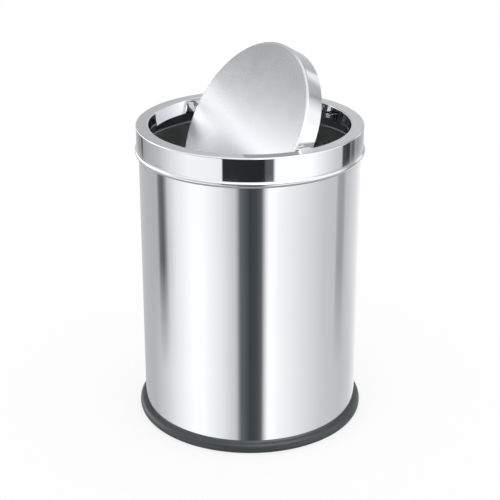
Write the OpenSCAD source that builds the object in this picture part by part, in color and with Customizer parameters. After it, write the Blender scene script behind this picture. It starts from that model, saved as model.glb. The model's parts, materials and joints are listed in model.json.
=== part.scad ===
// Countertop trash can with a lift-off cover and a swing lid.
// Origin: centre of the base on the table, +Z up, -Y towards the front.

/* [Body] */
// Outside diameter of the body shell
body_d = 180; // [150:1:240]
// Height of the shell's top edge above the table
body_h = 250.6; // [220:0.1:360]
// Thickness of the shell's sheet
body_t = 0.5; // [0.4:0.05:0.8]
// Height of the swaged bead below the cover's flange
bead_h = 2.7; // [2:0.1:4]
// How far the swaged bead stands out of the shell
bead_out = 0.95; // [0.5:0.05:1.2]
// Depth of the swaged bead's middle below the top edge
bead_drop = 22; // [12:0.5:40]
// Depth of the edge folded in at the shell's top
top_fold = 4; // [3:0.5:8]
// Floor's underside above the table
floor_rise = 9; // [6:0.5:20]
// Depth of the floor's turned-down rim
floor_rim = 6; // [4:0.5:8]
// Thickness of the floor's sheet
floor_t = 0.5; // [0.4:0.05:1]
// Width of the floor's border, from the shell's side to the raised middle
floor_border = 30; // [16:1:40]
// Height of the floor's raised middle
floor_step = 2; // [1:0.5:4]

/* [Base ring] */
// How far the base ring stands out past the shell's side
ring_out = 4.9; // [3:0.1:8]
// Height of the base ring
ring_h = 8.7; // [6:0.1:16]
// Height at which the base ring is widest
ring_belly = 3.4; // [2:0.1:6]
// Thickness of the ring under the shell's edge
ring_sole = 2; // [1.5:0.1:4]
// How far the ring's sole reaches in under the shell
ring_lip = 7; // [4:0.5:12]
// Thickness of the ring's upper edge
ring_edge = 0.8; // [0.5:0.1:2]

/* [Cover] */
// Thickness of the cover's sheet
cover_t = 0.5; // [0.4:0.05:0.8]
// Gap between the cover's skirt and the body's bead
cover_play = 0.35; // [0.3:0.05:0.8]
// Gap between the flange and the shell's top edge
seat_gap = 0.3; // [0.2:0.05:0.5]
// Height of the skirt, from the flange's top to its foot
skirt_h = 23.8; // [16:0.2:40]
// Rounding between the flange and the skirt
skirt_round = 1.6; // [1:0.1:3]
// Height of the rolled bead at the skirt's foot
rolled_h = 4.9; // [3:0.1:8]
// How far the rolled bead stands out of the skirt
rolled_out = 1.25; // [0.6:0.05:1.45]
// Width of the flange, from the skirt's side to the hole
flange_w = 10.3; // [8:0.1:14]
// Rounding between the flange and the collar
hole_round = 1.2; // [0.8:0.1:2]
// Depth of the collar below the flange's top
collar_h = 10.8; // [8:0.2:16]
// How much the collar's foot is narrower, on the radius
collar_taper = 1.8; // [0:0.1:3]
// Height of the hem folded back at the collar's foot
collar_hem = 2.2; // [1.5:0.1:4]

/* [Lid] */
// Gap between the lid and the hole's edge
lid_gap = 8; // [7:0.1:12]
// Depth of the lid's skirt
lid_h = 15.4; // [12:0.2:24]
// Thickness of the lid's sheet
lid_t = 0.5; // [0.4:0.05:0.8]
// Rounding between the lid's face and its skirt
lid_round = 1.4; // [1:0.1:3]
// Height of the hem folded in at the lid's foot
lid_hem = 3; // [2:0.5:4]
// Depth of the pivot axis below the lid's face
pivot_drop = 7.65; // [6.5:0.05:9]
// How far the closed lid's face stands above the flange
face_rise = 0.25; // [0:0.05:1]
// Tilt of the lid as it is drawn, from closed
lid_tilt = 60.3; // [-180:0.1:180]
// Direction of the pivot axis, counted from +X
axis_turn = -57.7; // [-180:0.1:180]

/* [Pivots] */
// Diameter of the pivot screws
screw_d = 4; // [3:0.5:5]
// Radial running gap between a screw and its bush
screw_play = 0.06; // [0.02:0.01:0.09]
// Length of each pivot screw
screw_l = 17; // [15:0.5:24]
// Width of the screwdriver slot
slot_w = 0.8; // [0.6:0.1:1.2]
// Depth of the screwdriver slot
slot_depth = 1.2; // [0.8:0.1:1.5]
// Running gap between the lid's skirt and the bushes
bush_play = 0.3; // [0.2:0.05:0.6]
// Diameter of a bush's barrel
bush_d = 6.4; // [5.8:0.1:7.4]
// Diameter of a bush's flange
bush_flange_d = 8.6; // [7.8:0.1:9]
// Thickness of a bush's flange
bush_flange_t = 0.7; // [0.5:0.1:1]
// Length of a bush's barrel behind its flange
bush_l = 3.2; // [2:0.1:3.6]
// Width of a pivot bracket
bracket_w = 11; // [10:0.5:16]
// Thickness of a pivot bracket's sheet
bracket_t = 0.8; // [0.5:0.1:1.2]
// Depth of a bracket's foot below the pivot axis
bracket_drop = 5.2; // [4.8:0.1:8]
// Rounding of a bracket's bend
bracket_round = 1.6; // [1.3:0.1:2]
// Width of a pivot lug along the lid's skirt
lug_w = 18; // [10:0.5:24]
// Height of a pivot lug
lug_h = 10; // [8:0.5:11]
// Thickness of a pivot lug at its middle
lug_t = 5; // [3:0.5:7]
// Width of a lock nut across its flats
nut_w = 7; // [6:0.5:8]
// Thickness of a lock nut
nut_t = 3.2; // [2.4:0.1:4]

/* [Counterweight] */
// Gap between the weight bar's ends and the lid's skirt
bar_gap = 23; // [21:0.5:36]
// Width of the weight bar
bar_w = 30; // [16:1:40]
// Thickness of the weight bar
bar_t = 5; // [3:0.5:8]
// Rounding of the weight bar's corners
bar_round = 4; // [1:0.5:6]
// Depth of the bar's upper side below the lid's sheet
bar_drop = 12.6; // [8:0.2:16]
// Distance of the studs from the weight bar's ends
stud_inset = 15; // [8:0.5:30]
// Diameter of the studs
stud_d = 4; // [3:0.5:5]
// Diameter of a stud's welded head
stud_head_d = 9; // [7:0.5:12]
// Thickness of a stud's welded head
stud_head_t = 1; // [0.6:0.1:1.6]
// Length of a stud past its nut
stud_tip = 1.5; // [0.5:0.1:3]
// Outside diameter of the spacer sleeves
sleeve_d = 7; // [6:0.5:10]
// Outside diameter of the washers
washer_d = 9; // [8:0.5:12]
// Thickness of the washers
washer_t = 0.8; // [0.5:0.1:1.5]

/* [Hidden] */

$fn = 96;
STEEL = [0.82, 0.83, 0.84];
DARK_PLASTIC = [0.2, 0.2, 0.21];
NYLON = [0.9, 0.9, 0.87];
ZINC = [0.72, 0.73, 0.74];

// Fits between pieces that are welded, pressed or screwed together.
seam = 0.05;
// Clearance of a screw or stud in the hole that it passes through.
hole_play = 0.1;
// Overshoot of a cut past the face that it opens.
cut = 1;
// Straight pieces in each rounded bend.
bend_steps = 6;

body_r = body_d / 2;
bead_z = body_h - bead_drop;
foot_z = ring_sole + seam;
skirt_r = body_r + bead_out + cover_play + cover_t;
flange_z = body_h + seat_gap + cover_t;
hole_r = skirt_r - flange_w;
collar_z = flange_z - collar_h;
lid_r = hole_r - lid_gap;
pivot_z = flange_z + face_rise - pivot_drop;
skirt_foot = pivot_drop - lid_h;
bush_x = lid_r + bush_play;
bracket_x = bush_x + bush_flange_t + seam;
bracket_top = flange_z - hole_round - pivot_z;
screw_tip = bush_x + bush_flange_t + bush_l;
lug_x = lid_r - lid_t - seam - lug_t;
pan_z = pivot_drop - lid_t - seam;
bar_end = lid_r - lid_t - bar_gap;
bar_z = pan_z - bar_drop;
stud_x = bar_end - stud_inset;
washer_z = bar_z - bar_t - seam;
weight_nut_z = washer_z - washer_t - seam;

// Points on an ellipse's arc about centre c, with half axes a and b.
function bow(c, a, b, from, to) =
    [for (i = [0:bend_steps])
        let (turn = from + (to - from) * i / bend_steps)
            c + [a * cos(turn), b * sin(turn)]];

// Points on a round bulge of a vertical wall at x, from z = low up to z = high.
function bulge(x, low, high, out) =
    let (
        half = (high - low) / 2,
        r = (half * half + out * out) / (2 * out),
        reach = asin(half / r)
    )
        bow([x + out - r, (low + high) / 2], r, r, -reach, reach);

// Direction square to the run from p to q, on its left.
function side(p, q) = [p[1] - q[1], q[0] - p[0]] / norm(q - p);

// Step from point i of a line to the line that runs t to its left.
function miter(p, i, t) =
    let (
        last = len(p) - 1,
        before = side(p[max(i - 1, 0)], p[max(i, 1)]),
        after = side(p[min(i, last - 1)], p[min(i + 1, last)])
    )
        t * (before + after) / (1 + before * after);

// Outline of a sheet of thickness t that runs along the left of a line.
function sheet(p, t) =
    concat(p, [for (i = [len(p) - 1:-1:0]) p[i] + miter(p, i, t)]);

// The same outline with the sheet's last edge folded back over a height.
function hemmed(p, t, fold) =
    let (
        foot = p[len(p) - 1],
        before = p[len(p) - 2],
        along = fold * (before - foot) / norm(before - foot),
        across = t * side(before, foot)
    )
        concat(
            p,
            [foot + 2 * across, foot + 2 * across + along, foot + across + along],
            [for (i = [len(p) - 2:-1:0]) p[i] + miter(p, i, t)]
        );

// ---- Body ----

// Rolled sheet cylinder with its bead and the edge folded in at the top.
module body_shell() {
    wall = concat(
        [[body_r, foot_z]],
        bulge(body_r, bead_z - bead_h / 2, bead_z + bead_h / 2, bead_out),
        [[body_r, body_h]]
    );
    color(STEEL)
        rotate_extrude()
            polygon(hemmed(wall, body_t, top_fold));
}

// Pressed floor with a raised middle and a rim turned down inside the shell.
module bottom_pan() {
    rim_r = body_r - body_t - seam;
    step_r = body_r - floor_border;
    underside = floor_rise;
    press = [
        [0, underside + floor_step],
        [step_r - floor_step, underside + floor_step],
        [step_r, underside],
        [rim_r - floor_t, underside],
        [rim_r - floor_t, underside + floor_t - floor_rim]
    ];
    color(STEEL)
        rotate_extrude()
            polygon(sheet(press, floor_t));
}

// Bulged plastic ring with a groove for the shell's foot.
module base_ring() {
    out_r = body_r + ring_out;
    in_r = body_r - ring_lip;
    groove_r = body_r + seam;
    edge_r = groove_r + ring_edge;
    foot_r = out_r - ring_belly / 2;
    profile = concat(
        [[in_r, 0]],
        bow([foot_r, ring_belly], ring_belly / 2, ring_belly, -90, 0),
        bow([edge_r, ring_belly], out_r - edge_r, ring_h - ring_belly, 0, 90),
        [[groove_r, ring_h], [groove_r, ring_sole], [in_r, ring_sole]]
    );
    color(DARK_PLASTIC)
        rotate_extrude()
            polygon(profile);
}

// ---- Cover ----

// Radius of the collar's inner face at height z.
function collar_r(z) =
    hole_r - collar_taper * (flange_z - hole_round - z) / (collar_h - hole_round);

// Cover pressed from one sheet: collar, flange, skirt and rolled bead.
module cover_rim() {
    skirt_z = flange_z - skirt_h;
    press = concat(
        bulge(skirt_r, skirt_z, skirt_z + rolled_h, rolled_out),
        bow([skirt_r - skirt_round, flange_z - skirt_round], skirt_round, skirt_round, 0, 90),
        bow([hole_r + hole_round, flange_z - hole_round], hole_round, hole_round, 90, 180),
        [[collar_r(collar_z), collar_z]]
    );
    color(STEEL)
        rotate_extrude()
            polygon(hemmed(press, cover_t, collar_hem));
}

// Places a front piece drawn along +X, or turns it round for the back.
module at_end(front) {
    rotate([0, 0, front ? 0 : 180])
        children();
}

// Frame of the pivot axis: +X along it, Z up, origin at its middle.
module on_axis() {
    translate([0, 0, pivot_z])
        rotate([0, 0, axis_turn])
            children();
}

// Round bar along +X from x = from to x = to.
module rod(d, from, to) {
    translate([from, 0, 0])
        rotate([0, 90, 0])
            cylinder(d = d, h = to - from);
}

// Space that the collar and everything outside it take, with the weld's gap.
module outside_collar() {
    top = flange_z - pivot_z + cut;
    low = -bracket_drop - cut;
    far = skirt_r + cut;
    rotate_extrude()
        polygon([
            [collar_r(pivot_z + low) - seam, low],
            [far, low],
            [far, top],
            [collar_r(pivot_z + top) - seam, top]
        ]);
}

// Folded sheet box between the collar and the lid, open at its foot.
module pivot_bracket(front) {
    reach = hole_r - bracket_x;
    corner = [bracket_x + bracket_round, bracket_top - bracket_round];
    bend = concat(
        [[bracket_x, -bracket_drop]],
        bow(corner, bracket_round, bracket_round, 180, 90),
        [[bracket_x + reach, bracket_top]]
    );
    color(STEEL)
        on_axis()
            at_end(front)
                difference() {
                    rotate([90, 0, 0])
                        translate([0, 0, -bracket_w / 2]) {
                            linear_extrude(bracket_w)
                                polygon(sheet(bend, -bracket_t));
                            for (z = [0, bracket_w - bracket_t])
                                translate([0, 0, z])
                                    linear_extrude(bracket_t)
                                        polygon(concat(bend, [[bracket_x + reach, -bracket_drop]]));
                        }
                    outside_collar();
                    rod(bush_d + 2 * seam, bracket_x - cut, bracket_x + bracket_t + cut);
                }
}

// Flanged nylon bush that the pivot screw turns in.
module pivot_bush(front) {
    bore_r = screw_d / 2 + screw_play;
    color(NYLON)
        on_axis()
            at_end(front)
                translate([bush_x, 0, 0])
                    rotate([0, 90, 0])
                        rotate_extrude()
                            polygon([
                                [bore_r, 0],
                                [bush_flange_d / 2, 0],
                                [bush_flange_d / 2, bush_flange_t],
                                [bush_d / 2, bush_flange_t],
                                [bush_d / 2, bush_flange_t + bush_l],
                                [bore_r, bush_flange_t + bush_l]
                            ]);
}

// ---- Lid ----

// Frame of the lid: +X along the pivot axis, +Z out of the lid's face.
module on_lid() {
    on_axis()
        rotate([lid_tilt, 0, 0])
            children();
}

// Shallow pressed pan with a hemmed skirt and two holes for the pivot screws.
module lid_pan() {
    press = concat(
        [[0, pivot_drop]],
        bow([lid_r - lid_round, pivot_drop - lid_round], lid_round, lid_round, 90, 0),
        [[lid_r, skirt_foot]]
    );
    color(STEEL)
        on_lid()
            difference() {
                rotate_extrude()
                    polygon(hemmed(press, -lid_t, lid_hem));
                for (front = [true, false])
                    at_end(front)
                        rod(screw_d + 2 * hole_play, lug_x, lid_r + cut);
            }
}

// Tapped pad, curved to sit against the inside of the lid's skirt.
module pivot_lug(front) {
    low = max(-lug_h / 2, skirt_foot + lid_hem + seam);
    color(ZINC)
        on_lid()
            at_end(front)
                difference() {
                    intersection() {
                        translate([lug_x, -lug_w / 2, low])
                            cube([lug_t + cut, lug_w, lug_h / 2 - low]);
                        translate([0, 0, low])
                            cylinder(r = lid_r - lid_t - seam, h = lug_h, $fn = 2 * $fn);
                    }
                    rod(screw_d + 2 * seam, lug_x - cut, lid_r);
                }
}

// Headless screw with a slot at its inner end and a plain tip in the bush.
module pivot_screw(front) {
    chamfer = screw_d / 8;
    start = screw_tip - screw_l;
    color(ZINC)
        on_lid()
            at_end(front)
                difference() {
                    translate([start, 0, 0])
                        rotate([0, 90, 0])
                            rotate_extrude()
                                polygon([
                                    [0, 0],
                                    [screw_d / 2 - chamfer, 0],
                                    [screw_d / 2, chamfer],
                                    [screw_d / 2, screw_l - chamfer],
                                    [screw_d / 2 - chamfer, screw_l],
                                    [0, screw_l]
                                ]);
                    translate([start - cut, -screw_d, -slot_w / 2])
                        cube([slot_depth + cut, 2 * screw_d, slot_w]);
                }
}

// Hexagon nut for a thread of diameter d, standing on z = 0.
module hex_nut(w, t, d) {
    difference() {
        cylinder(d = w / cos(30), h = t, $fn = 6);
        translate([0, 0, -cut])
            cylinder(d = d + 2 * seam, h = t + 2 * cut);
    }
}

// Lock nuts against the inner faces of the lugs.
module pivot_nuts() {
    color(ZINC)
        on_lid()
            for (front = [true, false])
                at_end(front)
                    translate([lug_x - seam - nut_t, 0, 0])
                        rotate([0, 90, 0])
                            hex_nut(nut_w, nut_t, screw_d);
}

// ---- Counterweight ----

// Puts a piece at each of the two studs.
module at_studs() {
    for (x = [-stud_x, stud_x])
        translate([x, 0, 0])
            children();
}

// Flat steel bar along the pivot axis, low in the lid.
module weight_bar() {
    long = bar_end - bar_round;
    wide = bar_w / 2 - bar_round;
    color(ZINC)
        on_lid()
            translate([0, 0, bar_z - bar_t])
                difference() {
                    union() {
                        translate([-bar_end, -wide, 0])
                            cube([2 * bar_end, 2 * wide, bar_t]);
                        translate([-long, -bar_w / 2, 0])
                            cube([2 * long, bar_w, bar_t]);
                        for (x = [-long, long], y = [-wide, wide])
                            translate([x, y, 0])
                                cylinder(r = bar_round, h = bar_t);
                    }
                    at_studs()
                        translate([0, 0, -cut])
                            cylinder(d = stud_d + 2 * hole_play, h = bar_t + 2 * cut);
                }
}

// Studs welded by their heads to the underside of the lid's face.
module weight_studs() {
    tip_z = weight_nut_z - nut_t - stud_tip;
    color(ZINC)
        on_lid()
            at_studs() {
                translate([0, 0, tip_z])
                    cylinder(d = stud_d, h = pan_z - tip_z);
                translate([0, 0, pan_z - stud_head_t])
                    cylinder(d = stud_head_d, h = stud_head_t);
            }
}

// Sleeves that hold the bar down from the studs' heads.
module weight_sleeves() {
    top = pan_z - stud_head_t - seam;
    length = top - bar_z - seam;
    color(ZINC)
        on_lid()
            at_studs()
                translate([0, 0, top - length])
                    difference() {
                        cylinder(d = sleeve_d, h = length);
                        translate([0, 0, -cut])
                            cylinder(d = stud_d + 2 * hole_play, h = length + 2 * cut);
                    }
}

// Washers under the bar's nuts.
module weight_washers() {
    color(ZINC)
        on_lid()
            at_studs()
                translate([0, 0, washer_z - washer_t])
                    difference() {
                        cylinder(d = washer_d, h = washer_t);
                        translate([0, 0, -cut])
                            cylinder(d = stud_d + 2 * hole_play, h = washer_t + 2 * cut);
                    }
}

// Nuts that clamp the bar on its studs.
module weight_nuts() {
    color(ZINC)
        on_lid()
            at_studs()
                translate([0, 0, weight_nut_z - nut_t])
                    hex_nut(nut_w, nut_t, stud_d);
}

body_shell();
bottom_pan();
base_ring();
cover_rim();
pivot_bracket(true);  // pivot_bracket_front
pivot_bracket(false);  // pivot_bracket_back
pivot_bush(true);  // pivot_bush_front
pivot_bush(false);  // pivot_bush_back
lid_pan();
pivot_lug(true);  // pivot_lug_front
pivot_lug(false);  // pivot_lug_back
pivot_screw(true);  // pivot_screw_front
pivot_screw(false);  // pivot_screw_back
pivot_nuts();
weight_bar();
weight_studs();
weight_sleeves();
weight_washers();
weight_nuts();
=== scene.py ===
import bpy
import json
from math import asin, cos, degrees, hypot, pi, radians, sin
from mathutils import Matrix, Vector


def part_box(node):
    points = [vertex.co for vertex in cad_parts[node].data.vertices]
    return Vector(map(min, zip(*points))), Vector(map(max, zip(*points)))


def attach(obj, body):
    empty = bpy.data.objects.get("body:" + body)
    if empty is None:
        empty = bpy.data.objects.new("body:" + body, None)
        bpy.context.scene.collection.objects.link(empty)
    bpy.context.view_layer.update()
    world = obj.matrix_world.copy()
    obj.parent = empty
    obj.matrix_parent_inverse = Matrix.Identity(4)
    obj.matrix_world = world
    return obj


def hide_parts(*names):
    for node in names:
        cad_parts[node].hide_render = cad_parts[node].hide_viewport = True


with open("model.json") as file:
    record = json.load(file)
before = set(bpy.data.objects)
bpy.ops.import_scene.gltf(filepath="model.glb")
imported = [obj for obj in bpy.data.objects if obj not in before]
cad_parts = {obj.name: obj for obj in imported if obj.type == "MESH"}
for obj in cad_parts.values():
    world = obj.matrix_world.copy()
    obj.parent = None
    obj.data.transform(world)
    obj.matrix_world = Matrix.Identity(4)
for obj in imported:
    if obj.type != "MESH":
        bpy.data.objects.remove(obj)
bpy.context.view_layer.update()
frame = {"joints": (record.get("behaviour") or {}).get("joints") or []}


# ---- Base ring ----
# A moulded ring of dark grey plastic with a bulged outer side. The body's lower edge
# stands in its groove, and its flat sole is all that touches the table.

ring_low, ring_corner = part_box("base_ring")
ring_r = min(ring_corner.x, -ring_low.x)
ring_h = ring_corner.z
ring_belly = 0.0034
ring_edge = 0.0008
ring_sole = 0.002
ring_lip = 0.007
body_r = 0.090
weld_gap = 0.00005

# A turned piece without a bore starts and ends this close to its axis.
axis_r = 0.00001
# Points within the first distance are joined, and edges sharper than the crease stay sharp.
merge_within = 0.00002
crease = radians(32)


def bow(centre, half_w, half_h, start, end, steps=10):
    """Points on an ellipse's arc, as (radius, height) pairs; angles in degrees."""
    turns = [radians(start + (end - start) * i / steps) for i in range(steps + 1)]
    return [(centre[0] + half_w * cos(a), centre[1] + half_h * sin(a)) for a in turns]


def keep_straight(rings, margin=0.0002):
    """Adds a ring near both ends of each long stretch, so that its shading stays straight."""
    steady = []
    for (r0, z0), (r1, z1) in zip(rings, rings[1:]):
        steady.append((r0, z0))
        length = hypot(r1 - r0, z1 - z0)
        if length > 6 * margin:
            for part in (margin / length, 1 - margin / length):
                steady.append((r0 + (r1 - r0) * part, z0 + (z1 - z0) * part))
    return steady + rings[-1:]


def turn(name, rings, sides=256):
    """A turned piece: one circle extruded from ring to ring, back to where it began or to the axis."""
    bpy.ops.object.select_all(action="DESELECT")
    on_axis = rings[0][0] <= axis_r
    rings = keep_straight(rings if on_axis else rings + rings[:1])
    radius, height = rings[0]
    bpy.ops.mesh.primitive_circle_add(vertices=sides, radius=radius, location=(0, 0, height))
    piece = bpy.context.object
    piece.name = name
    piece.data.name = name
    bpy.ops.object.transform_apply(location=True, rotation=False, scale=False)
    bpy.ops.object.mode_set(mode="EDIT")
    bpy.ops.mesh.select_all(action="SELECT")
    for next_radius, next_height in rings[1:]:
        grow = next_radius / radius
        bpy.ops.mesh.extrude_region_move(TRANSFORM_OT_translate={"value": (0, 0, next_height - height)})
        bpy.ops.transform.resize(value=(grow, grow, 1), center_override=(0, 0, next_height))
        radius, height = next_radius, next_height
    bpy.ops.mesh.select_all(action="SELECT")
    bpy.ops.mesh.remove_doubles(threshold=merge_within)
    bpy.ops.mesh.normals_make_consistent(inside=False)
    bpy.ops.object.mode_set(mode="OBJECT")
    bpy.ops.object.shade_smooth_by_angle(angle=crease)
    return piece


groove_r = body_r + weld_gap
crest_r = groove_r + ring_edge
ring_profile = (
    [(body_r - ring_lip, 0.0)]
    + bow((ring_r - ring_belly / 2, ring_belly), ring_belly / 2, ring_belly, -90, 0)
    + bow((crest_r, ring_belly), ring_r - crest_r, ring_h - ring_belly, 0, 90)[1:]
    + [(groove_r, ring_h), (groove_r, ring_sole), (body_r - ring_lip, ring_sole)]
)
foot_ring = turn("foot_ring", ring_profile)
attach(foot_ring, "bin")
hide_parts("base_ring")

# Nearly all of a noise lies between these two levels.
noise_low = 0.3
noise_high = 0.7


def new_material(name):
    """An empty material with its shader and a source of Object coordinates."""
    material = bpy.data.materials.new(name)
    material.use_nodes = True
    tree = material.node_tree
    tree.nodes.clear()
    output = tree.nodes.new("ShaderNodeOutputMaterial")
    shader = tree.nodes.new("ShaderNodeBsdfPrincipled")
    place = tree.nodes.new("ShaderNodeTexCoord")
    tree.links.new(shader.outputs["BSDF"], output.inputs["Surface"])
    return material, tree, shader, place.outputs["Object"]


def add_noise(tree, place, scale, detail, stretch=(1, 1, 1)):
    """Noise over a piece at so many grains a metre, stretched along its axes."""
    mapping = tree.nodes.new("ShaderNodeMapping")
    mapping.inputs["Scale"].default_value = stretch
    noise = tree.nodes.new("ShaderNodeTexNoise")
    noise.inputs["Scale"].default_value = scale
    noise.inputs["Detail"].default_value = detail
    tree.links.new(place, mapping.inputs["Vector"])
    tree.links.new(mapping.outputs["Vector"], noise.inputs["Vector"])
    return noise.outputs["Fac"]


def spread(tree, value, low, high, socket):
    """Sends a noise value to a socket, spread between two levels."""
    remap = tree.nodes.new("ShaderNodeMapRange")
    remap.inputs["From Min"].default_value = noise_low
    remap.inputs["From Max"].default_value = noise_high
    remap.inputs["To Min"].default_value = low
    remap.inputs["To Max"].default_value = high
    tree.links.new(value, remap.inputs["Value"])
    tree.links.new(remap.outputs["Result"], socket)


def tint(tree, value, dark, light, socket):
    """Sends a noise value to a colour socket, from a darker to a lighter colour."""
    ramp = tree.nodes.new("ShaderNodeValToRGB")
    ramp.color_ramp.elements[0].position = noise_low
    ramp.color_ramp.elements[0].color = (*dark, 1)
    ramp.color_ramp.elements[1].position = noise_high
    ramp.color_ramp.elements[1].color = (*light, 1)
    tree.links.new(value, ramp.inputs["Fac"])
    tree.links.new(ramp.outputs["Color"], socket)


def add_bump(tree, value, height, shader):
    """Raises the surface by a noise value."""
    bump = tree.nodes.new("ShaderNodeBump")
    bump.inputs["Distance"].default_value = height
    tree.links.new(value, bump.inputs["Height"])
    tree.links.new(bump.outputs["Normal"], shader.inputs["Normal"])


def give(piece, *finishes):
    """Gives a piece its finishes, the first of them all over."""
    piece.data.materials.clear()
    for finish in finishes:
        piece.data.materials.append(finish)


dark_plastic, tree, shader, place = new_material("dark_plastic")
clouds = add_noise(tree, place, 35, 3)
tint(tree, clouds, (0.028, 0.036, 0.041), (0.041, 0.050, 0.056), shader.inputs["Base Color"])
spread(tree, add_noise(tree, place, 90, 4), 0.30, 0.40, shader.inputs["Roughness"])
shader.inputs["Specular IOR Level"].default_value = 0.55
add_bump(tree, add_noise(tree, place, 1400, 2), 0.00002, shader)
give(foot_ring, dark_plastic)


# ---- Body shell ----
# Stainless sheet rolled to a cylinder and polished to a mirror. A bead is swaged round it
# under the cover, the top edge is folded in, and the side seam is welded and ground flush.

sheet_t = 0.0005
_, shell_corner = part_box("body_shell")
shell_top = shell_corner.z
bead_h = 0.0027
bead_out = 0.00095
bead_drop = 0.022
bead_z = shell_top - bead_drop
top_fold = 0.004
weld_w = 0.0015
# A face whose normal points to the axis by more than this is inside the shell.
inside = -0.5


def bulge(radius, low, high, out, steps=12):
    """Points on a round bulge of a vertical wall, from its lower to its upper end."""
    half = (high - low) / 2
    bend = (half * half + out * out) / (2 * out)
    reach = degrees(asin(half / bend))
    return bow((radius + out - bend, (low + high) / 2), bend, bend, -reach, reach, steps)


def sheet_rings(line, thickness, fold=0.0):
    """Rings round a sheet that runs along the left of a line, with its last edge folded back."""
    sides = []
    for (r0, z0), (r1, z1) in zip(line, line[1:]):
        length = hypot(r1 - r0, z1 - z0)
        sides.append(((z0 - z1) / length, (r1 - r0) / length))
    inner = []
    for i, (r, z) in enumerate(line):
        before = sides[max(i - 1, 0)]
        after = sides[min(i, len(sides) - 1)]
        reach = thickness / (1 + before[0] * after[0] + before[1] * after[1])
        inner.append((r + reach * (before[0] + after[0]), z + reach * (before[1] + after[1])))
    if not fold:
        return line + inner[::-1]
    foot = Vector(line[-1])
    across = Vector(sides[-1]) * thickness
    back = (Vector(line[-2]) - foot).normalized() * fold
    hem = [foot + 2 * across, foot + 2 * across + back, foot + across + back]
    return line + [tuple(p) for p in hem] + inner[-2::-1]


def outwards(face):
    """How far a face's normal points away from the axis: 1 is straight out, and -1 straight in."""
    return face.normal.xy.dot(face.center.xy) / hypot(*face.center.xy)


def metal(name, dark, light, clouds, roughness, wear, bump, grain, metallic=1.0):
    """A metal with clouds of a lighter colour, uneven wear and a raised grain.

    clouds, wear and grain each hold their noise's scale, its detail and any stretch.
    """
    material, tree, shader, place = new_material(name)
    shader.inputs["Metallic"].default_value = metallic
    tint(tree, add_noise(tree, place, *clouds), dark, light, shader.inputs["Base Color"])
    spread(tree, add_noise(tree, place, *wear), *roughness, shader.inputs["Roughness"])
    add_bump(tree, add_noise(tree, place, *grain), bump, shader)
    return material


shell_line = (
    [(body_r, ring_sole + weld_gap)]
    + bulge(body_r, bead_z - bead_h / 2, bead_z + bead_h / 2, bead_out)
    + [(body_r, shell_top)]
)
body_wall = turn("body_wall", sheet_rings(shell_line, sheet_t, top_fold), sides=384)
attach(body_wall, "bin")
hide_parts("body_shell")

polished_steel = metal(
    "polished_steel", dark=(0.781, 0.790, 0.823), light=(0.800, 0.808, 0.841), clouds=(14, 2),
    roughness=(0.020, 0.032), wear=(45, 4), bump=0.0000004, grain=(2500, 2, (1, 1, 0.1)))
rolled_steel = metal(
    "rolled_steel", dark=(0.70, 0.705, 0.715), light=(0.77, 0.775, 0.785), clouds=(30, 4),
    roughness=(0.31, 0.39), wear=(120, 4, (1, 1, 0.2)), bump=0.000002, grain=(1800, 3, (1, 1, 0.2)))
ground_weld = metal(
    "ground_weld", dark=(0.60, 0.61, 0.63), light=(0.74, 0.75, 0.77), clouds=(400, 4),
    roughness=(0.14, 0.24), wear=(700, 4, (1, 1, 0.3)), bump=0.000003, grain=(2200, 3, (1, 1, 0.3)))
give(body_wall, polished_steel, rolled_steel, ground_weld)
for face in body_wall.data.polygons:
    if outwards(face) < inside and face.center.z < bead_z:
        face.material_index = 1
    elif face.center.y > 0 and 0 < face.center.x < weld_w:
        face.material_index = 2


# ---- Floor of the bin ----
# A pressed disc of plain steel with a raised middle. Its rim is turned down and pressed
# into the foot of the shell.

pan_low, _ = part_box("bottom_pan")
floor_step = 0.002
floor_rim = 0.006
rim_r = body_r - sheet_t - weld_gap
rim_round = 0.0015
under_z = pan_low.z + floor_rim - sheet_t
step_r = 0.060
floor_line = (
    [(axis_r, under_z + floor_step), (step_r - 2 * floor_step, under_z + floor_step)]
    + bow((step_r - floor_step, under_z), floor_step, floor_step, 90, 45, steps=4)
    + bow((step_r + floor_step / 2, under_z + floor_step), floor_step, floor_step, 225, 270, steps=4)
    + bow((rim_r - sheet_t - rim_round, under_z - rim_round), rim_round, rim_round, 90, 0, steps=8)
    + [(rim_r - sheet_t, pan_low.z)]
)
bin_floor = turn("bin_floor", sheet_rings(floor_line, sheet_t))
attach(bin_floor, "bin")
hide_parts("bottom_pan")

plain_steel = metal(
    "plain_steel", dark=(0.48, 0.49, 0.50), light=(0.60, 0.61, 0.62), clouds=(60, 5), metallic=0.8,
    roughness=(0.26, 0.42), wear=(200, 4, (1, 8, 1)), bump=0.000004, grain=(900, 3, (1, 12, 1)))
give(bin_floor, plain_steel)


# ---- Cover ----
# One pressed sheet that lifts off: a flat flange, an outer skirt with a rolled bead at
# its foot, and a short hemmed collar turned down round the hole.

rim_low, rim_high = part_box("cover_rim")
flange_z = rim_high.z
skirt_r = 0.0918
skirt_round = 0.0012
rolled_h = 0.0049
rolled_out = 0.00125
hole_r = 0.0815
hole_round = 0.0012
collar_h = 0.0108
collar_taper = 0.0018
collar_hem = 0.0022
cover_line = (
    bulge(skirt_r, rim_low.z, rim_low.z + rolled_h, rolled_out, steps=16)
    + bow((skirt_r - skirt_round, flange_z - skirt_round), skirt_round, skirt_round, 0, 90)
    + bow((hole_r + hole_round, flange_z - hole_round), hole_round, hole_round, 90, 180)
    + [(hole_r - collar_taper, flange_z - collar_h)]
)
cover_sheet = turn("cover_sheet", sheet_rings(cover_line, sheet_t, collar_hem), sides=384)
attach(cover_sheet, "cover")
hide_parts("cover_rim")
give(cover_sheet, polished_steel)


# ---- Pivot brackets ----
# Two small boxes folded from sheet, welded to the collar across from each other. Each
# bridges the gap to the lid, holds a bush in its front wall and is open at its foot.

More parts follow.
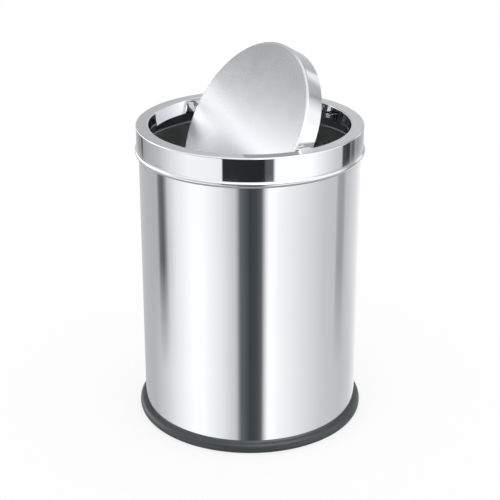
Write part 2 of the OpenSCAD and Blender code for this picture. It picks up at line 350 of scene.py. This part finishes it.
swing = next(joint for joint in frame["joints"] if joint["name"] == "lid_swing")
pivot = Vector(swing["pos_m"])
along = Vector(swing["axis"]).normalized()
up = Vector((0, 0, 1))
bracket_x = 0.07455
bracket_top = flange_z - hole_round - pivot.z
bracket_foot = -0.0052
bracket_w = 0.011
bracket_t = 0.0008
bracket_round = 0.0016
bracket_edge = 0.00018
bush_r = 0.0032

# Takes what is drawn level round the origin to the pivot axis, and X to its front end.
level = Matrix.Translation(pivot) @ Matrix((along, up.cross(along), up)).transposed().to_4x4()
other_end = Matrix.Rotation(pi, 4, "Z")
# Lays what is drawn along Z along X.
onto_x = Matrix.Rotation(pi / 2, 4, "Y")
# A cutting tool reaches this far past the face that it opens.
overcut = 0.001


def only(piece):
    """Selects one piece and makes it active."""
    bpy.ops.object.select_all(action="DESELECT")
    bpy.context.view_layer.objects.active = piece
    piece.select_set(True)


def put(piece, where):
    """Takes a finished piece from where it was drawn to its place, and keeps the place in its mesh."""
    only(piece)
    piece.matrix_world = where
    bpy.ops.object.transform_apply(location=True, rotation=True, scale=True)


def pair(piece, name, where):
    """Puts a finished piece at the front end of the pivot axis, and a copy of it at the back end."""
    far_piece = piece.copy()
    far_piece.data = piece.data.copy()
    far_piece.name = name
    far_piece.data.name = name
    bpy.context.collection.objects.link(far_piece)
    put(piece, where)
    put(far_piece, where @ other_end)
    return piece, far_piece


def block(name, low, high):
    """A plain block between two corners, to be shaped further."""
    bpy.ops.object.select_all(action="DESELECT")
    low = Vector(low)
    high = Vector(high)
    bpy.ops.mesh.primitive_cube_add(size=1, location=(low + high) / 2)
    piece = bpy.context.object
    piece.name = name
    piece.data.name = name
    piece.scale = high - low
    bpy.ops.object.transform_apply(location=True, rotation=False, scale=True)
    return piece


def rod(radius, start, end, sides=48):
    """A plain rod along Z, to cut a hole with."""
    bpy.ops.object.select_all(action="DESELECT")
    bpy.ops.mesh.primitive_cylinder_add(
        vertices=sides, radius=radius, depth=end - start, location=(0, 0, (start + end) / 2))
    bpy.ops.object.transform_apply(location=True, rotation=False, scale=False)
    return bpy.context.object


def carve(piece, tool, how="DIFFERENCE"):
    """Cuts a piece with a tool, or keeps only what both share, and takes the tool away."""
    only(piece)
    modifier = piece.modifiers.new("carve", "BOOLEAN")
    modifier.operation = how
    modifier.object = tool
    bpy.ops.object.modifier_apply(modifier=modifier.name)
    bpy.data.objects.remove(tool)


def round_edges(piece, width, segments, chosen):
    """Rounds the edges of a piece that a test on their two ends chooses."""
    only(piece)
    bpy.ops.object.mode_set(mode="EDIT")
    bpy.ops.mesh.select_mode(type="EDGE")
    bpy.ops.mesh.select_all(action="DESELECT")
    bpy.ops.object.mode_set(mode="OBJECT")
    points = piece.data.vertices
    for edge in piece.data.edges:
        edge.select = chosen(*(points[i].co for i in edge.vertices))
    bpy.ops.object.mode_set(mode="EDIT")
    bpy.ops.mesh.bevel(offset=width, segments=segments, affect="EDGES")
    bpy.ops.object.mode_set(mode="OBJECT")


def soften(piece, width, segments=2):
    """Rounds all the sharp edges of a piece a little, and shades its flats flat."""
    only(piece)
    bpy.ops.object.mode_set(mode="EDIT")
    bpy.ops.mesh.select_mode(type="EDGE")
    bpy.ops.mesh.select_all(action="SELECT")
    bpy.ops.mesh.remove_doubles(threshold=merge_within / 4)
    bpy.ops.mesh.select_all(action="DESELECT")
    bpy.ops.mesh.edges_select_sharp(sharpness=radians(35))
    bpy.ops.mesh.bevel(offset=width, segments=segments, affect="EDGES", clamp_overlap=True)
    bpy.ops.object.mode_set(mode="OBJECT")
    bpy.ops.object.shade_smooth_by_angle(angle=radians(50))
    even = piece.modifiers.new("even", "WEIGHTED_NORMAL")
    even.keep_sharp = True
    bpy.ops.object.modifier_apply(modifier=even.name)


def collar_r(height):
    """Radius of the collar's inner face at a height above the pivot axis."""
    drop = flange_z - hole_round - pivot.z - height
    return hole_r - collar_taper * drop / (collar_h - hole_round)


def at_bend(*ends):
    """Whether an edge is the one where the bracket's top is folded down to its front wall."""
    return all(p.x < bracket_x + merge_within and p.z > bracket_top - merge_within for p in ends)


behind_collar = hole_r + 2 * overcut
bracket = block(
    "bracket_a", (bracket_x, -bracket_w / 2, bracket_foot), (behind_collar, bracket_w / 2, bracket_top))
round_edges(bracket, bracket_round, segments=8, chosen=at_bend)
only(bracket)
bpy.ops.object.mode_set(mode="EDIT")
bpy.ops.mesh.select_mode(type="FACE")
bpy.ops.mesh.select_all(action="DESELECT")
bpy.ops.object.mode_set(mode="OBJECT")
for face in bracket.data.polygons:
    face.select = round(face.normal.z) == -1 or round(face.normal.x) == 1
bpy.ops.object.mode_set(mode="EDIT")
bpy.ops.mesh.delete(type="FACE")
bpy.ops.object.mode_set(mode="OBJECT")
wall = bracket.modifiers.new("wall", "SOLIDIFY")
wall.thickness = bracket_t
wall.offset = -1
wall.use_even_offset = True
bpy.ops.object.modifier_apply(modifier=wall.name)
low_z = bracket_foot - overcut
high_z = bracket_top + overcut
outside = turn("outside_collar", [
    (collar_r(low_z) - weld_gap, low_z), (skirt_r, low_z),
    (skirt_r, high_z), (collar_r(high_z) - weld_gap, high_z)], sides=384)
carve(bracket, outside)
bore = rod(bush_r + weld_gap, bracket_x - overcut, bracket_x + 2 * overcut)
put(bore, onto_x)
carve(bracket, bore)
soften(bracket, bracket_edge)
give(bracket, polished_steel)
for piece, node in zip(pair(bracket, "bracket_b", level), ("pivot_bracket_front", "pivot_bracket_back")):
    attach(piece, "cover")
    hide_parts(node)


# ---- Bushes ----
# Flanged bushes of natural nylon, pushed through the brackets' front walls from the lid's
# side. The pivot screws turn in them.

bush_x = 0.0738
bush_flange_t = 0.0007
bush_flange_r = 0.0043
bush_l = 0.0032
bush_bore = 0.00206
bush_edge = 0.0002
bush_end = bush_flange_t + bush_l
flange_edge_r = bush_flange_r - bush_edge
bush = turn("bush_a", (
    [(bush_bore, bush_edge), (bush_bore + bush_edge, 0)]
    + bow((flange_edge_r, bush_edge), bush_edge, bush_edge, -90, 0, steps=4)
    + bow((flange_edge_r, bush_flange_t - bush_edge), bush_edge, bush_edge, 0, 90, steps=4)
    + [(bush_r, bush_flange_t), (bush_r, bush_end - bush_edge)]
    + [(bush_r - bush_edge, bush_end), (bush_bore, bush_end)]
), sides=64)
put(bush, Matrix.Translation((bush_x, 0, 0)) @ onto_x)

nylon, tree, shader, place = new_material("nylon")
clouds = add_noise(tree, place, 700, 3)
tint(tree, clouds, (0.78, 0.77, 0.71), (0.86, 0.855, 0.80), shader.inputs["Base Color"])
spread(tree, add_noise(tree, place, 1500, 3), 0.38, 0.52, shader.inputs["Roughness"])
shader.inputs["Subsurface Weight"].default_value = 0.15
shader.inputs["Subsurface Scale"].default_value = 0.001
add_bump(tree, add_noise(tree, place, 6000, 2), 0.00001, shader)
give(bush, nylon)
for piece, node in zip(pair(bush, "bush_b", level), ("pivot_bush_front", "pivot_bush_back")):
    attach(piece, "cover")
    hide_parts(node)


# ---- Lid ----
# A shallow pan pressed from sheet. Its hemmed skirt is polished, its face is brushed to a
# satin that gets coarser towards the foot, and its inside keeps the mill's finish. It
# hangs on two pivots across the hole, tilted as in the photograph.

lid_tilt = radians(60.3)
lid_frame = level @ Matrix.Rotation(lid_tilt, 4, "X")
lid_r = 0.0735
lid_round = 0.0018
lid_face = 0.00765
lid_h = 0.0154
lid_foot = lid_face - lid_h
lid_hem = 0.003
lid_hole_r = 0.0021


def reshade(piece, angle):
    """Shades a piece anew after it was cut; edges sharper than the angle stay sharp."""
    only(piece)
    bpy.ops.object.shade_smooth_by_angle(angle=angle)


lid_line = (
    [(axis_r, lid_face), (lid_r / 2, lid_face)]
    + bow((lid_r - lid_round, lid_face - lid_round), lid_round, lid_round, 90, 0)
    + [(lid_r, lid_foot)]
)
swing_lid = turn("swing_lid", sheet_rings(lid_line, -sheet_t, lid_hem), sides=384)
hole = rod(lid_hole_r, -body_r, body_r)
put(hole, onto_x)
carve(swing_lid, hole)
reshade(swing_lid, crease)

satin_steel = metal(
    "satin_steel", dark=(0.776, 0.786, 0.826), light=(0.795, 0.804, 0.845), clouds=(14, 2),
    roughness=(0.185, 0.200), wear=(60, 3), bump=0.0000004, grain=(2500, 2, (1, 1, 0.1)))
mill_steel = metal(
    "mill_steel", dark=(0.62, 0.63, 0.645), light=(0.70, 0.71, 0.725), clouds=(30, 4), metallic=0.7,
    roughness=(0.32, 0.40), wear=(120, 4, (1, 1, 0.2)), bump=0.000002, grain=(1800, 3, (1, 1, 0.2)))

# The satin gets coarser in this direction, between two distances from the pivot.
coarse_way = (-0.6, 0, -0.8)
coarse_from = -0.010
coarse_to = 0.030
coarse_by = 0.32
tree = satin_steel.node_tree
shader = tree.nodes["Principled BSDF"]
place = tree.nodes["Texture Coordinate"].outputs["Object"]
way = tree.nodes.new("ShaderNodeVectorMath")
way.operation = "DOT_PRODUCT"
way.inputs[1].default_value = coarse_way
tree.links.new(place, way.inputs[0])
coarser = tree.nodes.new("ShaderNodeMapRange")
coarser.interpolation_type = "SMOOTHSTEP"
coarser.inputs["From Min"].default_value = coarse_from + pivot.dot(coarse_way)
coarser.inputs["From Max"].default_value = coarse_to + pivot.dot(coarse_way)
coarser.inputs["To Max"].default_value = coarse_by
tree.links.new(way.outputs["Value"], coarser.inputs["Value"])
total = tree.nodes.new("ShaderNodeMath")
tree.links.new(shader.inputs["Roughness"].links[0].from_socket, total.inputs[0])
tree.links.new(coarser.outputs["Result"], total.inputs[1])
tree.links.new(total.outputs["Value"], shader.inputs["Roughness"])

# The satin covers what looks up by more than this. The mill's finish covers what looks
# inwards, and what looks down by more than this just under the lid's face.
looks_up = 0.5
looks_down = -0.3
give(swing_lid, polished_steel, satin_steel, mill_steel)
for face in swing_lid.data.polygons:
    under_face = face.normal.z < looks_down and face.center.z > lid_face - lid_round
    if face.normal.z > looks_up:
        face.material_index = 1
    elif under_face or outwards(face) < 0:
        face.material_index = 2
put(swing_lid, lid_frame)
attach(swing_lid, "lid")
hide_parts("lid_pan")


# ---- Pivot lugs ----
# Pads of plain steel, curved to the inside of the lid's skirt, welded to it and tapped
# for the pivot screws.

lug_x = 0.06795
lug_t = 0.005
lug_w = 0.018
lug_low = -0.0047
lug_high = 0.005
lug_edge = 0.0003
screw_r = 0.002
lug = block("lug_a", (lug_x, -lug_w / 2, lug_low), (lug_x + lug_t + overcut, lug_w / 2, lug_high))
inside_skirt = rod(lid_r - sheet_t - weld_gap, lug_low - overcut, lug_high + overcut, sides=384)
carve(lug, inside_skirt, "INTERSECT")
hole = rod(screw_r + weld_gap, lug_x - overcut, lid_r)
put(hole, onto_x)
carve(lug, hole)
soften(lug, lug_edge)
give(lug, plain_steel)
for piece, node in zip(pair(lug, "lug_b", lid_frame), ("pivot_lug_front", "pivot_lug_back")):
    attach(piece, "lid")
    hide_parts(node)


# ---- Pivot screws ----
# Headless screws of zinc-plated steel, threaded in the lug and its lock nut. Each has a
# slot at its inner end and a plain tip that turns in the bush.

screw_tip = bush_x + bush_flange_t + bush_l
screw_l = 0.017
screw_start = screw_tip - screw_l
thread_end = lid_r - sheet_t - screw_start
chamfer = 0.0005
slot_w = 0.0008
slot_depth = 0.0012


def thread(radius, start, end, pitch=0.0007, depth=0.0003):
    """Points along a thread's crests and roots, as (radius, height) pairs."""
    crest_end = 0.1 * pitch
    root_start = 0.5 * pitch
    root_end = 0.6 * pitch
    turns = int((end - start) / pitch)
    points = []
    for i in range(turns):
        foot = start + i * pitch
        points += [(radius, foot), (radius, foot + crest_end)]
        points += [(radius - depth, foot + root_start), (radius - depth, foot + root_end)]
    return points + [(radius, start + turns * pitch)]


screw = turn("pivot_screw_a", (
    [(axis_r, 0), (screw_r - chamfer, 0)]
    + thread(screw_r, chamfer, thread_end)
    + [(screw_r, screw_l - chamfer), (screw_r - chamfer, screw_l), (axis_r, screw_l)]
), sides=48)
put(screw, Matrix.Translation((screw_start, 0, 0)) @ onto_x)
slot_low = (screw_start - overcut, -2 * screw_r, -slot_w / 2)
slot_high = (screw_start + slot_depth, 2 * screw_r, slot_w / 2)
carve(screw, block("slot", slot_low, slot_high))
reshade(screw, crease)

zinc_plate = metal(
    "zinc_plate", dark=(0.62, 0.635, 0.655), light=(0.74, 0.745, 0.745), clouds=(260, 4),
    roughness=(0.20, 0.34), wear=(900, 4), bump=0.000004, grain=(5000, 3))
give(screw, zinc_plate)
for piece, node in zip(pair(screw, "pivot_screw_b", lid_frame), ("pivot_screw_front", "pivot_screw_back")):
    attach(piece, "lid")
    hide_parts(node)


# ---- Lock nuts ----
# Zinc-plated hexagon nuts, chamfered on both sides, tightened on the pivot screws against
# the lugs.

nut_flats = 0.0035
nut_corners = nut_flats / cos(pi / 6)
nut_t = 0.0032
nut_bore = screw_r + weld_gap
nut_edge = 0.0003
nut_crease = radians(20)


def hex_nut(name):
    """A hexagon nut round the Z axis that stands on z = 0."""
    nut = turn(name, [
        (nut_bore + nut_edge, 0), (nut_flats, 0),
        (nut_corners, nut_edge), (nut_corners, nut_t - nut_edge),
        (nut_flats, nut_t), (nut_bore + nut_edge, nut_t),
        (nut_bore, nut_t - nut_edge), (nut_bore, nut_edge)], sides=72)
    carve(nut, rod(nut_corners, -overcut, nut_t + overcut, sides=6), "INTERSECT")
    reshade(nut, nut_crease)
    give(nut, zinc_plate)
    return nut


for name, where in (("lock_nut_a", lid_frame), ("lock_nut_b", lid_frame @ other_end)):
    nut = hex_nut(name)
    put(nut, where @ Matrix.Translation((lug_x - weld_gap - nut_t, 0, 0)) @ onto_x)
    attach(nut, "lid")
    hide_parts("pivot_nuts")


# ---- Studs ----
# Two zinc-plated studs, welded by their round heads to the underside of the lid's face,
# and threaded where they carry the counterweight.

stud_x = 0.035
stud_top = lid_face - sheet_t - weld_gap
stud_head_r = 0.0045
stud_head_t = 0.001
stud_edge = 0.0002
stud_past = 0.0015
bar_drop = 0.0126
bar_top = stud_top - bar_drop
bar_t = 0.005
washer_top = bar_top - bar_t - weld_gap
washer_t = 0.0008
nut_top = washer_top - washer_t - weld_gap
stud_tip = nut_top - nut_t - stud_past
head_low = stud_top - stud_head_t
stud_rings = (
    [(axis_r, stud_tip), (screw_r - chamfer, stud_tip)]
    + thread(screw_r, stud_tip + chamfer, bar_top)
    + [(screw_r, head_low), (stud_head_r - stud_edge, head_low), (stud_head_r, head_low + stud_edge)]
    + [(stud_head_r, stud_top), (axis_r, stud_top)]
)


def at_stud(side):
    """Where a piece that is drawn round the Z axis stands on one of the studs."""
    return lid_frame @ Matrix.Translation((side * stud_x, 0, 0))


for name, side in (("stud_a", -1), ("stud_b", 1)):
    stud = turn(name, stud_rings, sides=48)
    put(stud, at_stud(side))
    give(stud, zinc_plate)
    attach(stud, "lid")
    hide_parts("weight_studs")


# ---- Sleeves ----
# Cut lengths of zinc-plated tube on the studs, which hold the counterweight down from the
# lid's face.

hole_play = 0.0001
bore_r = screw_r + hole_play
sleeve_r = 0.0035
sleeve_edge = 0.0002
sleeve_foot = bar_top + weld_gap
sleeve_top = head_low - weld_gap
sleeve_rings = [
    (bore_r, sleeve_foot + sleeve_edge), (bore_r + sleeve_edge, sleeve_foot),
    (sleeve_r - sleeve_edge, sleeve_foot), (sleeve_r, sleeve_foot + sleeve_edge),
    (sleeve_r, sleeve_top - sleeve_edge), (sleeve_r - sleeve_edge, sleeve_top),
    (bore_r + sleeve_edge, sleeve_top), (bore_r, sleeve_top - sleeve_edge)]
for name, side in (("sleeve_a", -1), ("sleeve_b", 1)):
    sleeve = turn(name, sleeve_rings, sides=64)
    put(sleeve, at_stud(side))
    give(sleeve, zinc_plate)
    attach(sleeve, "lid")
    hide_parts("weight_sleeves")


# ---- Counterweight ----
# A flat bar of plain steel with rounded corners and two drilled holes. It hangs low in
# the lid, along the pivot axis, and brings the lid level again.

bar_end = 0.050
bar_side = 0.015
bar_round = 0.004
bar_edge = 0.0004
weight = block("weight", (-bar_end, -bar_side, bar_top - bar_t), (bar_end, bar_side, bar_top))


def upright(first, last):
    """Whether an edge of the bar stands upright at one of its corners."""
    return abs(first.z - last.z) > bar_t / 2


round_edges(weight, bar_round, segments=12, chosen=upright)
for side in (-1, 1):
    hole = rod(bore_r, bar_top - bar_t - overcut, bar_top + overcut)
    put(hole, Matrix.Translation((side * stud_x, 0, 0)))
    carve(weight, hole)
soften(weight, bar_edge, segments=3)
give(weight, plain_steel)
put(weight, lid_frame)
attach(weight, "lid")
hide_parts("weight_bar")


# ---- Washers and nuts of the counterweight ----
# Zinc-plated washers and hexagon nuts, one of each on either stud. They clamp the bar
# against its sleeves.

washer_r = 0.0045
washer_edge = 0.0001
washer_foot = washer_top - washer_t
washer_rings = [
    (bore_r, washer_foot), (washer_r - washer_edge, washer_foot), (washer_r, washer_foot + washer_edge),
    (washer_r, washer_top - washer_edge), (washer_r - washer_edge, washer_top), (bore_r, washer_top)]
for name, side in (("a", -1), ("b", 1)):
    washer = turn("washer_" + name, washer_rings, sides=64)
    give(washer, zinc_plate)
    nut = hex_nut("weight_nut_" + name)
    put(washer, at_stud(side))
    put(nut, at_stud(side) @ Matrix.Translation((0, 0, nut_top - nut_t)))
    for piece, node in ((washer, "weight_washers"), (nut, "weight_nuts")):
        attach(piece, "lid")
        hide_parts(node)


# ---- Studio ----
# A plain white floor that keeps the bin's soft shadow, and a round light tent. The tent's
# wall is bright, with dark gaps between its panels that the polished sheet mirrors.

floor_size = 6
# To the camera this share of the floor is plain white, and the rest shows its shadow.
floor_glow = 0.75
bpy.ops.object.select_all(action="DESELECT")
bpy.ops.mesh.primitive_plane_add(size=floor_size)
floor = bpy.context.object
floor.name = "floor"
floor_material = bpy.data.materials.new("floor_white")
floor_material.use_nodes = True
tree = floor_material.node_tree
tree.nodes.clear()
output = tree.nodes.new("ShaderNodeOutputMaterial")
white = tree.nodes.new("ShaderNodeBsdfDiffuse")
white.inputs["Color"].default_value = (1, 1, 1, 1)
glow = tree.nodes.new("ShaderNodeEmission")
glow.inputs["Strength"].default_value = 1.0
see_through = tree.nodes.new("ShaderNodeBsdfTransparent")
path = tree.nodes.new("ShaderNodeLightPath")
softer = tree.nodes.new("ShaderNodeMixShader")
soft_shadow = tree.nodes.new("ShaderNodeMath")
soft_shadow.operation = "MULTIPLY"
soft_shadow.inputs[1].default_value = floor_glow
choose = tree.nodes.new("ShaderNodeMixShader")
tree.links.new(path.outputs["Is Camera Ray"], soft_shadow.inputs[0])
tree.links.new(soft_shadow.outputs["Value"], softer.inputs["Fac"])
tree.links.new(white.outputs["BSDF"], softer.inputs[1])
tree.links.new(glow.outputs["Emission"], softer.inputs[2])
tree.links.new(path.outputs["Is Glossy Ray"], choose.inputs["Fac"])
tree.links.new(softer.outputs["Shader"], choose.inputs[1])
tree.links.new(see_through.outputs["BSDF"], choose.inputs[2])
tree.links.new(choose.outputs["Shader"], output.inputs["Surface"])
give(floor, floor_material)

world = bpy.data.worlds.new("light_tent")
bpy.context.scene.world = world
world.use_nodes = True
tree = world.node_tree
tree.nodes.clear()


def calculate(operation, *values):
    """One step of arithmetic; each value is a number or the output of another node."""
    node = tree.nodes.new("ShaderNodeMath")
    node.operation = operation
    for socket, value in zip(node.inputs, values):
        if isinstance(value, (int, float)):
            socket.default_value = value
        else:
            tree.links.new(value, socket)
    return node.outputs["Value"]


direction = tree.nodes.new("ShaderNodeTexCoord").outputs["Generated"]
split = tree.nodes.new("ShaderNodeSeparateXYZ")
tree.links.new(direction, split.inputs["Vector"])
height = split.outputs["Z"]
azimuth = calculate("ARCTAN2", split.outputs["X"], calculate("MULTIPLY", split.outputs["Y"], -1))
round_turn = tree.nodes.new("ShaderNodeMapRange")
round_turn.inputs["From Min"].default_value = -pi
round_turn.inputs["From Max"].default_value = pi
tree.links.new(azimuth, round_turn.inputs["Value"])


def tent_band(*edges, cool=0.0135, warm=0.018):
    """The tent's brightness all round; each edge of a panel is (azimuth in degrees, brightness).

    Dark stretches lose some red, and bright ones some blue.
    """
    blue_share = 0.4
    warm_from = 0.6
    ramp = tree.nodes.new("ShaderNodeValToRGB")
    elements = ramp.color_ramp.elements
    elements.remove(elements[-1])
    for i, (angle, bright) in enumerate(edges):
        position = (angle + 180) / 360
        element = elements[0] if i == 0 else elements.new(position)
        element.position = position
        blue = cool * max(1 - bright, 0) ** 2
        yellow = warm * max(bright - warm_from, 0)
        element.color = (max(bright - blue, 0), bright, bright + blue_share * blue - yellow, 1)
    tree.links.new(round_turn.outputs["Result"], ramp.inputs["Fac"])
    return ramp.outputs["Color"]


def up_at(angle):
    """Height, in a tent of radius 1, that is seen so many degrees up."""
    return sin(radians(angle))


def stack(lower, upper, height, start, end, blend="LINEAR"):
    """One band below a height and another above it, blended between the two."""
    remap = tree.nodes.new("ShaderNodeMapRange")
    remap.interpolation_type = blend
    remap.inputs["From Min"].default_value = start
    remap.inputs["From Max"].default_value = end
    mix = tree.nodes.new("ShaderNodeMix")
    mix.data_type = "RGBA"
    tree.links.new(height, remap.inputs["Value"])
    tree.links.new(remap.outputs["Result"], mix.inputs["Factor"])
    tree.links.new(lower, mix.inputs["A"])
    tree.links.new(upper, mix.inputs["B"])
    return mix.outputs["Result"]


# The wall's lower hoop hangs this far down. It sags to the front and is blurred at the back.
hoop_drop = 0.332
hoop_sag = 0.0115
hoop_curve = 0.0035
front_blur = 0.0003
back_blur = 0.003
to_front = calculate("COSINE", azimuth)
sag = calculate("SUBTRACT", hoop_sag, calculate("MULTIPLY", to_front, hoop_curve))
sag = calculate("MULTIPLY", sag, to_front)
above_hoop = calculate("ADD", calculate("ADD", height, sag), hoop_drop)
to_back = calculate("SUBTRACT", 1, to_front)
blur = calculate("MULTIPLY", back_blur, calculate("MULTIPLY", to_back, to_back))
blur = calculate("ADD", front_blur, blur)
above_hoop = calculate("DIVIDE", above_hoop, blur)

# The wall's upper edge is tilted by this much, and is lowest in this direction.
lean = radians(21.8)
lean_x = 0.438
lean_y = 0.899
leaning = tree.nodes.new("ShaderNodeVectorMath")
leaning.operation = "DOT_PRODUCT"
leaning.inputs[1].default_value = (lean_x * sin(lean), lean_y * sin(lean), cos(lean))
tree.links.new(direction, leaning.inputs[0])
up_the_lean = leaning.outputs["Value"]

ground_band = tent_band((-180, 0.40), (180, 0.40))
foot_band = tent_band(
    (-180, 0.74), (-166, 0.55), (-125, 0.56), (-104, 0.74), (-83, 1.02), (-63, 1.24), (-50, 1.24),
    (-42, 1.13), (-30, 0.98), (-20, 0.78), (-14.5, 0.66), (-11.7, 0.34), (-9.6, 0.16), (0, 0.065),
    (7, 0.08), (11.5, 0.14), (13, 0.29), (15, 0.70), (19, 1.25), (24, 1.25), (31, 1.14), (52, 0.96),
    (83, 0.72), (114, 0.63), (135, 0.70), (165, 1.0), (180, 0.74))
low_band = tent_band(
    (-180, 0.78), (-168, 0.64), (-140, 0.56), (-112, 0.53), (-108, 0.20), (-102, 0.13), (-98, 0.32),
    (-94, 0.68), (-83, 0.98), (-63, 1.24), (-50, 1.24), (-30, 0.98), (-20, 0.78), (-14.5, 0.66),
    (-11.7, 0.34), (-9.6, 0.16), (0, 0.065), (7, 0.08), (11.5, 0.14), (13, 0.29), (15, 0.70),
    (19, 1.25), (24, 1.25), (31, 1.12), (83, 0.69), (100, 0.65), (104, 0.42), (112, 0.40),
    (118, 0.62), (160, 1.02), (170, 1.02), (180, 0.78))
skirt_band = tent_band(
    (-180, 0.85), (-165, 0.65), (-145, 0.32), (-142, 0.40), (-139, 0.06), (-137, 0.10), (-135, 0.38),
    (-125, 0.48), (-104, 0.62), (-83, 0.92), (-63, 1.14), (-28, 1.06), (-27, 0.03), (14, 0.025),
    (15, 0.11), (23, 0.14), (25, 1.23), (63, 1.25), (83, 0.91), (94, 0.76), (104.5, 0.67),
    (106.5, 0.09), (118, 0.04), (121, 0.28), (124, 0.13), (129, 0.20), (132, 0.44), (136, 0.34),
    (145, 0.48), (155, 0.55), (165, 0.65), (180, 0.85), cool=0.002)
wall_band = tent_band(
    (-180, 0.68), (-176, 0.57), (-160, 0.62), (-145, 1.4), (-125, 2.05), (-100, 2.05), (-80, 1.0),
    (-60, 0.7), (-33, 0.6), (-27, 0.25), (13, 0.25), (22, 0.6), (50, 0.8), (66, 1.25), (96, 1.25),
    (104, 0.85), (112, 0.42), (122, 0.46), (130, 0.95), (141, 1.05), (147, 0.54), (160, 0.60),
    (176, 0.66), (180, 0.68))
high_band = tent_band(
    (-180, 0.66), (-176, 0.55), (-160, 0.55), (-145, 0.48), (-125, 0.25), (-100, 0.25), (-80, 1.0),
    (-60, 1.25), (15, 1.25), (30, 1.9), (50, 1.9), (66, 1.20), (96, 1.15), (104, 0.85), (112, 0.42),
    (122, 0.46), (130, 0.95), (141, 1.05), (147, 0.54), (160, 0.60), (176, 0.66), (180, 0.68),
    warm=0.035)
top_band = tent_band(
    (-180, 0.80), (-165, 0.50), (-140, 0.45), (-125, 0.85), (-100, 0.85), (-75, 1.10), (-40, 1.20),
    (-20, 1.50), (0, 1.50), (14, 3.0), (52, 3.0), (75, 1.15), (105, 0.60), (150, 0.50), (180, 0.80),
    warm=0.08)
roof_band = tent_band((-180, 1.05), (180, 1.05))
tent = stack(ground_band, foot_band, height, up_at(-44), up_at(-33))
tent = stack(tent, low_band, height, up_at(-27.5), up_at(-23))
tent = stack(tent, skirt_band, above_hoop, -1, 1, blend="SMOOTHSTEP")
tent = stack(tent, wall_band, height, up_at(-16), up_at(-10))
tent = stack(tent, high_band, up_the_lean, up_at(14.1) * cos(lean), up_at(17.5) * cos(lean))
tent = stack(tent, top_band, height, up_at(21), up_at(22.5))
tent = stack(tent, roof_band, height, up_at(50), up_at(62))

# Only reflections see the panels. All else is lit by a plain white sky.
panels = tree.nodes.new("ShaderNodeBackground")
tree.links.new(tent, panels.inputs["Color"])
plain = tree.nodes.new("ShaderNodeBackground")
plain.inputs["Color"].default_value = (1, 1, 1, 1)
path = tree.nodes.new("ShaderNodeLightPath")
choose = tree.nodes.new("ShaderNodeMixShader")
output = tree.nodes.new("ShaderNodeOutputWorld")
tree.links.new(path.outputs["Is Glossy Ray"], choose.inputs["Fac"])
tree.links.new(plain.outputs["Background"], choose.inputs[1])
tree.links.new(panels.outputs["Background"], choose.inputs[2])
tree.links.new(choose.outputs["Shader"], output.inputs["Surface"])


# ---- Camera ----
# A long lens more than a metre away, looking down on the bin as the photograph does. A
# small shift puts the bin where the photograph has it.

camera_data = bpy.data.cameras.new("camera")
camera_data.sensor_width = 36
camera_data.lens = 99.17
camera_data.shift_x = 0.0002
camera_data.shift_y = 0.0010
camera = bpy.data.objects.new("camera", camera_data)
bpy.context.collection.objects.link(camera)
camera.location = (0, -1.0623, 0.5811)
camera.rotation_euler = (radians(67.415), 0, 0)
bpy.context.scene.camera = camera
bpy.context.scene.view_settings.view_transform = "Standard"
